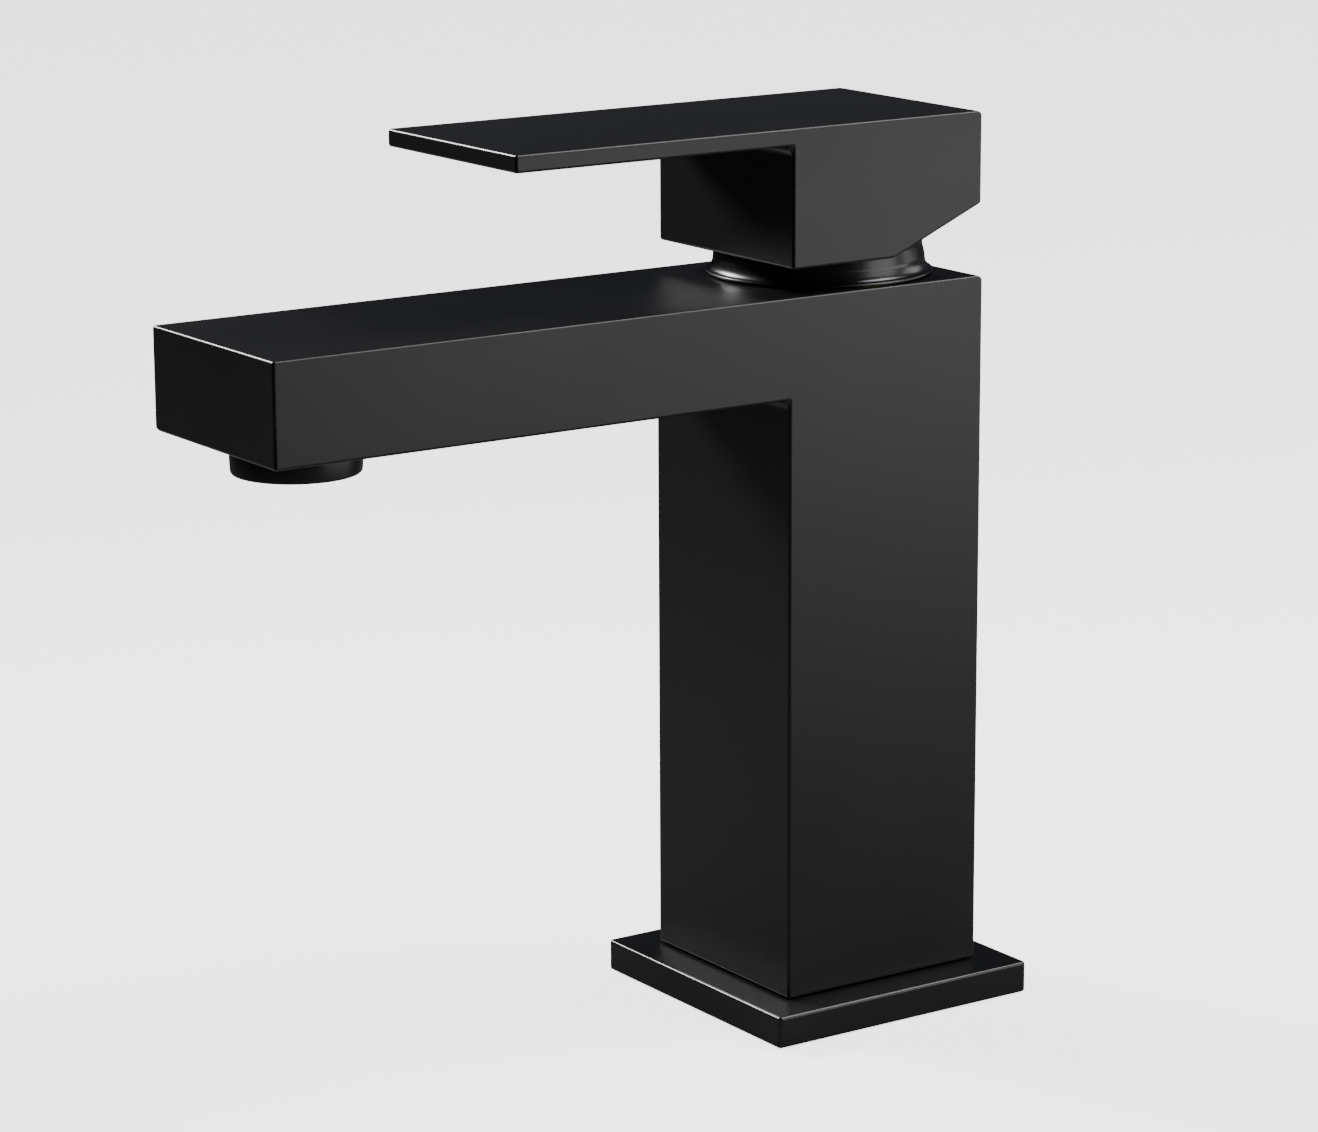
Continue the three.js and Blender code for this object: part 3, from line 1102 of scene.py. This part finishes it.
@dataclass
class Outlet:
    """The aerator's collar."""

    lower_round: float = 0.5 * MM
    bulge: float = 0.12 * MM
    mouth: float = 9.6 * MM
    mouth_break: float = 0.3 * MM
    thread: float = 10.7 * MM
    gap: float = 0.3 * MM
    wall_steps: int = 10

    def build(self) -> bpy.types.Object:
        """Makes the collar.

        Returns:
            The piece.
        """
        low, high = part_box("aerator_shell")
        centre = ((low.x + high.x) / 2, (low.y + high.y) / 2)
        radius = (high.x - low.x) / 2
        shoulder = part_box("faucet_body")[1].z - Casting.spout_height - self.gap
        straight = radius - self.bulge
        edge = self.lower_round
        bottom = low.z + edge
        wall = []
        for i in range(1, self.wall_steps):
            share = i / self.wall_steps
            swell = self.bulge * (1 - (2 * share - 1) ** 2)
            wall.append((straight + swell, bottom + share * (shoulder - bottom)))
        profile = [
            (self.mouth + self.mouth_break, low.z),
            *arc((straight - edge, bottom), edge, -90, 0, 6),
            *wall,
            (straight, shoulder),
            (self.thread, shoulder),
            (self.thread, high.z),
            (self.mouth, high.z),
            (self.mouth, low.z + self.mouth_break),
        ]
        return smooth(turned("aerator_collar", profile, centre), 50.0, cast=False)


@dataclass
class Seals:
    """The rubber rings, moulded round."""

    o_rings: tuple[str, ...] = ("plate_o_ring", "cap_o_ring", "housing_o_ring")
    flats: dict[str, float] = field(default_factory=lambda: {
        "base_gasket": 20.6 * MM,
        "hot_inlet_seal": 3.3 * MM,
        "cold_inlet_seal": 3.3 * MM,
        "aerator_washer": 8.8 * MM,
    })
    section_steps: int = 16
    ring_steps: int = 96
    edge: float = 0.2 * MM
    hexagon: float = math.sin(math.radians(60))  # height to width of the CAD ring's section

    def o_ring(self, node: str) -> bpy.types.Object:
        """Makes a ring of round section.

        Args:
            node: the CAD node that it stands for.

        Returns:
            The piece.
        """
        low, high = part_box(node)
        tall = (high.z - low.z) / 2
        wide = tall / self.hexagon
        radius, level = high.x - wide, (low.z + high.z) / 2
        turns = [2 * math.pi * i / self.section_steps for i in range(self.section_steps)]
        profile = [(radius + wide * math.cos(t), level + tall * math.sin(t)) for t in turns]
        item = turned(f"round_{node}", profile, steps=self.ring_steps)
        return smooth(item, 80.0, cast=False)

    def flat(self, node: str, inner: float) -> bpy.types.Object:
        """Makes a flat ring with rounded edges.

        Args:
            node: the CAD node that it stands for.
            inner: its inner radius.

        Returns:
            The piece.
        """
        low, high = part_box(node)
        outer = (high.x - low.x) / 2
        centre = ((low.x + high.x) / 2, (low.y + high.y) / 2)
        edge = self.edge
        profile = [
            *arc((inner + edge, low.z + edge), edge, 180, 270, 3),
            *arc((outer - edge, low.z + edge), edge, 270, 360, 3),
            *arc((outer - edge, high.z - edge), edge, 0, 90, 3),
            *arc((inner + edge, high.z - edge), edge, 90, 180, 3),
        ]
        item = turned(f"round_{node}", profile, centre, self.ring_steps)
        return smooth(item, 50.0, cast=False)

    def dress(self) -> None:
        """Makes every ring and gives it its finish."""
        rubber = Rubber().material()
        made = {node: self.o_ring(node) for node in self.o_rings}
        made |= {node: self.flat(node, inner) for node, inner in self.flats.items()}
        for node, item in made.items():
            dress(item, rubber, Body.FIXED, node)


@dataclass
class Fittings:
    """The CAD nodes that keep their own shape and take a better finish."""

    groups: dict[Slot, tuple[str, ...]] = field(default_factory=lambda: {
        Slot.BRASS: ("retaining_nut", "stem"),
        Slot.STEEL: ("stem_pin", "handle_screw", "aerator_screen"),
        Slot.WHITE: ("cartridge_base", "cartridge_housing", "aerator_insert"),
        Slot.GREY: ("disc_carrier", "rotor"),
        Slot.RED: ("stop_ring", "flow_regulator"),
        Slot.CERAMIC: ("fixed_disc", "moving_disc"),
    })

    def dress(self) -> None:
        """Gives every kept node its finish."""
        finishes = {
            Slot.BRASS: TurnedMetal("turned_brass", (0.64, 0.46, 0.2), 0.28),
            Slot.STEEL: TurnedMetal("stainless_steel", (0.62, 0.62, 0.6), 0.25),
            Slot.WHITE: Moulding("natural_acetal", (0.78, 0.78, 0.74)),
            Slot.GREY: Moulding("grey_acetal", (0.27, 0.29, 0.31)),
            Slot.RED: Moulding("red_acetal", (0.42, 0.05, 0.04)),
            Slot.CERAMIC: DiscCeramic(),
        }
        for slot, names in self.groups.items():
            material = finishes[slot].material()
            for name in names:
                for slot_of_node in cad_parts[name].material_slots:
                    slot_of_node.material = material
                LOG.info("%s keeps its shape in %s", name, material.name)


@dataclass
class Studio:
    """Floor, lights and camera."""

    azimuth: float = 55.91
    pitch: float = 13.30
    roll: float = -0.26
    eye: tuple[float, float, float] = (0.64383, -0.47145, 0.26990)
    lens: float = 119.86
    sensor: float = 36.0
    nearest: float = 0.01
    floor_size: float = 14.0
    floor_drop: float = 0.2 * MM
    paper: Colour = (0.9, 0.9, 0.9)
    reflected_paper: Colour = (0.24, 0.24, 0.24)
    glow: float = 2.6
    room: Colour = (0.52, 0.62, 0.95)
    room_strength: float = 0.028

    def camera(self) -> None:
        """Sets the camera."""
        turn = math.radians(self.azimuth)
        dip = math.radians(self.pitch)
        level = math.cos(dip)
        forward = Vector((-math.sin(turn) * level, math.cos(turn) * level, -math.sin(dip)))
        right = forward.cross(Vector((0, 0, 1))).normalized()
        up = right.cross(forward)
        tilt = math.radians(self.roll)
        across = right * math.cos(tilt) + up * math.sin(tilt)
        upward = up * math.cos(tilt) - right * math.sin(tilt)
        matrix = Matrix((across, upward, -forward)).transposed().to_4x4()
        matrix.translation = Vector(self.eye)
        lens = bpy.data.cameras.new("camera")
        lens.sensor_fit = "HORIZONTAL"
        lens.sensor_width = self.sensor
        lens.lens = self.lens
        lens.clip_start = self.nearest
        camera = bpy.data.objects.new("camera", lens)
        camera.matrix_world = matrix
        bpy.context.scene.collection.objects.link(camera)
        bpy.context.scene.camera = camera

    def floor(self) -> None:
        """Lays the pale floor, which is darker in reflections than to the camera."""
        bm = bmesh.new()
        bmesh.ops.create_grid(bm, x_segments=1, y_segments=1, size=self.floor_size / 2)
        floor = object_from("floor", bm)
        floor.location.z = -self.floor_drop
        graph = Graph("floor_paper")
        seen = graph.node("ShaderNodeLightPath", output="Is Camera Ray")
        paper = graph.node("ShaderNodeBsdfDiffuse", inputs={"Color": self.paper})
        white = {"Color": (1.0, 1.0, 1.0), "Strength": self.glow}
        glow = graph.node("ShaderNodeEmission", inputs=white)
        pale = graph.node("ShaderNodeAddShader", inputs={0: paper, 1: glow})
        dim = graph.node("ShaderNodeBsdfDiffuse", inputs={"Color": self.reflected_paper})
        shown = graph.node("ShaderNodeMixShader", inputs={0: seen, 1: dim, 2: pale})
        floor.data.materials.append(graph.closed(shown))

    def light(
        self,
        name: str,
        direction: tuple[float, float, float],
        distance: float,
        size: tuple[float, float],
        power: float,
        target: tuple[float, float, float] = (0.0, -0.03, 0.1),
        spread: float = 180.0,
    ) -> None:
        """Adds a soft box.

        Args:
            name: the light's name.
            direction: where it stands as seen from the target.
            distance: how far away it stands.
            size: its width and height.
            power: watts.
            target: what it points at.
            spread: how wide its beam is, in degrees.
        """
        lamp = bpy.data.lights.new(name, "AREA")
        lamp.shape = "RECTANGLE"
        lamp.size, lamp.size_y = size
        lamp.energy = power
        lamp.spread = math.radians(spread)
        item = bpy.data.objects.new(name, lamp)
        away = Vector(direction).normalized()
        item.location = Vector(target) + away * distance
        item.rotation_euler = away.to_track_quat("Z", "Y").to_euler()
        bpy.context.scene.collection.objects.link(item)

    def lights(self) -> None:
        """Sets the soft boxes and the dim room."""
        low = (0.0, 0.0, 0.066)
        self.light("low_right", (0.76, 0.65, 0.0), 0.55, (0.7, 0.14), 0.75, low)
        self.light("key_right", (0.76, 0.60, 0.30), 0.8, (0.5, 0.4), 1.2)
        self.light("strip_left", (-0.80, -0.30, 0.55), 1.1, (0.4, 0.3), 1.3, spread=50.0)
        self.light("top_back", (0.23, 0.545, 0.81), 1.2, (0.6, 0.5), 10.0)
        self.light("rear_fill", (0.10, 1.00, 0.25), 1.2, (0.6, 0.4), 1.5)
        world = bpy.data.worlds.new("room")
        world.use_nodes = True
        background = world.node_tree.nodes["Background"]
        background.inputs["Color"].default_value = (*self.room, 1.0)
        background.inputs["Strength"].default_value = self.room_strength
        bpy.context.scene.world = world

    def build(self) -> None:
        """Sets the whole stage."""
        self.camera()
        self.floor()
        self.lights()


def main() -> None:
    """Builds the stage, the pieces and their finishes."""
    logging.basicConfig(level=logging.INFO, format="%(message)s")
    Studio().build()
    black = BlackCoat().material()
    gloss = BlackCoat(name="gloss_black_coat", roughness=0.27, gloss=0.7, peel_depth=0.0012 * MM)
    lever = LeverHandle()
    dress(Casting().build(), black, Body.FIXED, "faucet_body")
    dress(CoverPlate().build(), black, Body.FIXED, "base_plate")
    dress(Dome().build(), gloss.material(), Body.FIXED, "dome_cap")
    dress(Outlet().build(), black, Body.FIXED, "aerator_shell")
    dress(lever.build(), black, Body.LEVER, "handle")
    dress(lever.build_plug(), black, Body.LEVER, "handle_plug")
    Seals().dress()
    Fittings().dress()


if __name__ == "__main__":
    main()
